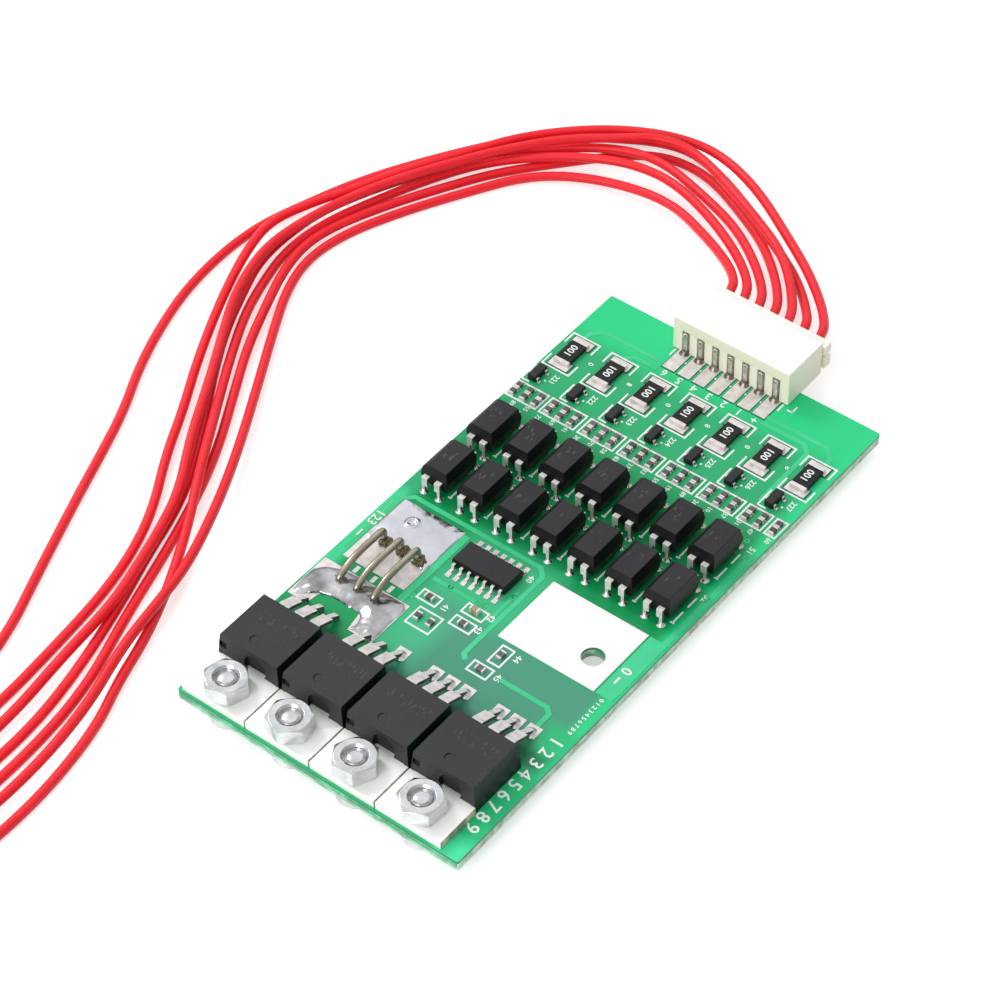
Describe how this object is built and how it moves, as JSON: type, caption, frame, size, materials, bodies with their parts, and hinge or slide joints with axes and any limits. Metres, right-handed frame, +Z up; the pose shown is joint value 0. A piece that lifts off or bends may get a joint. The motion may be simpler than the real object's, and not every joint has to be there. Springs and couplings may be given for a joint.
{
  "type": "battery management board",
  "caption": "Green lithium battery management board with power transistors, sensing wires, optocouplers, balance circuits and a plugged-in lead bundle.",
  "frame": {"origin": "middle of the box around the board with its header, on the surface that it rests on", "axes": "+Y along the board from the power transistors to the connector, +X towards the load terminal's side, +Z up out of the parts side"},
  "size_m": [0.0971, 0.1924, 0.0094],
  "materials": {
    "board_lacquer": "satin",
    "track_lacquer": "satin",
    "white_print": "matte",
    "tinned_pad": "satin",
    "solder": "satin",
    "bare_wire": "satin",
    "tab_metal": "satin",
    "black_epoxy": "matte",
    "opto_epoxy": "matte",
    "lead_metal": "satin",
    "zinc_steel": "satin",
    "resistor_glaze": "satin",
    "capacitor_body": "satin",
    "connector_nylon": "satin",
    "contact_metal": "satin",
    "lead_insulation": "satin"
  },
  "bodies": {
    "root": {"circuit_board": "board_lacquer", "silkscreen_marks": "white_print", "copper_tracks": "track_lacquer", "load_terminal_pad": "tinned_pad", "battery_terminal_pad": "tinned_pad", "battery_terminal_solder": "solder", "source_solder": "solder", "power_lead_pads": "tinned_pad", "chip_pads": "tinned_pad", "balance_pads": "tinned_pad", "connector_pads": "tinned_pad", "shunt_wires": "bare_wire", "tab_screws": "zinc_steel", "tab_nuts": "zinc_steel", "optocoupler_bodies_far": "opto_epoxy", "optocoupler_bodies_near": "opto_epoxy", "optocoupler_legs_far": "lead_metal", "optocoupler_legs_near": "lead_metal", "controller_chip": "black_epoxy", "controller_legs": "lead_metal", "balance_resistors": "resistor_glaze", "balance_resistor_ends": "tinned_pad", "balance_transistors": "black_epoxy", "balance_transistor_legs": "lead_metal", "chip_resistors": "resistor_glaze", "chip_resistor_ends": "tinned_pad", "chip_capacitor": "capacitor_body", "chip_capacitor_ends": "tinned_pad", "connector_header": "connector_nylon", "connector_pins": "lead_metal", "connector_plug": "connector_nylon", "connector_contacts": "contact_metal", "solder_joints": "solder", "power_transistor_tab_1": "tab_metal", "power_transistor_body_1": "black_epoxy", "power_transistor_leads_1": "lead_metal", "power_transistor_tab_2": "tab_metal", "power_transistor_body_2": "black_epoxy", "power_transistor_leads_2": "lead_metal", "power_transistor_tab_3": "tab_metal", "power_transistor_body_3": "black_epoxy", "power_transistor_leads_3": "lead_metal", "power_transistor_tab_4": "tab_metal", "power_transistor_body_4": "black_epoxy", "power_transistor_leads_4": "lead_metal", "cell_lead_1": "lead_insulation", "cell_lead_2": "lead_insulation", "cell_lead_3": "lead_insulation", "cell_lead_4": "lead_insulation", "cell_lead_5": "lead_insulation", "cell_lead_6": "lead_insulation", "cell_lead_7": "lead_insulation"}
  },
  "joints": []
}
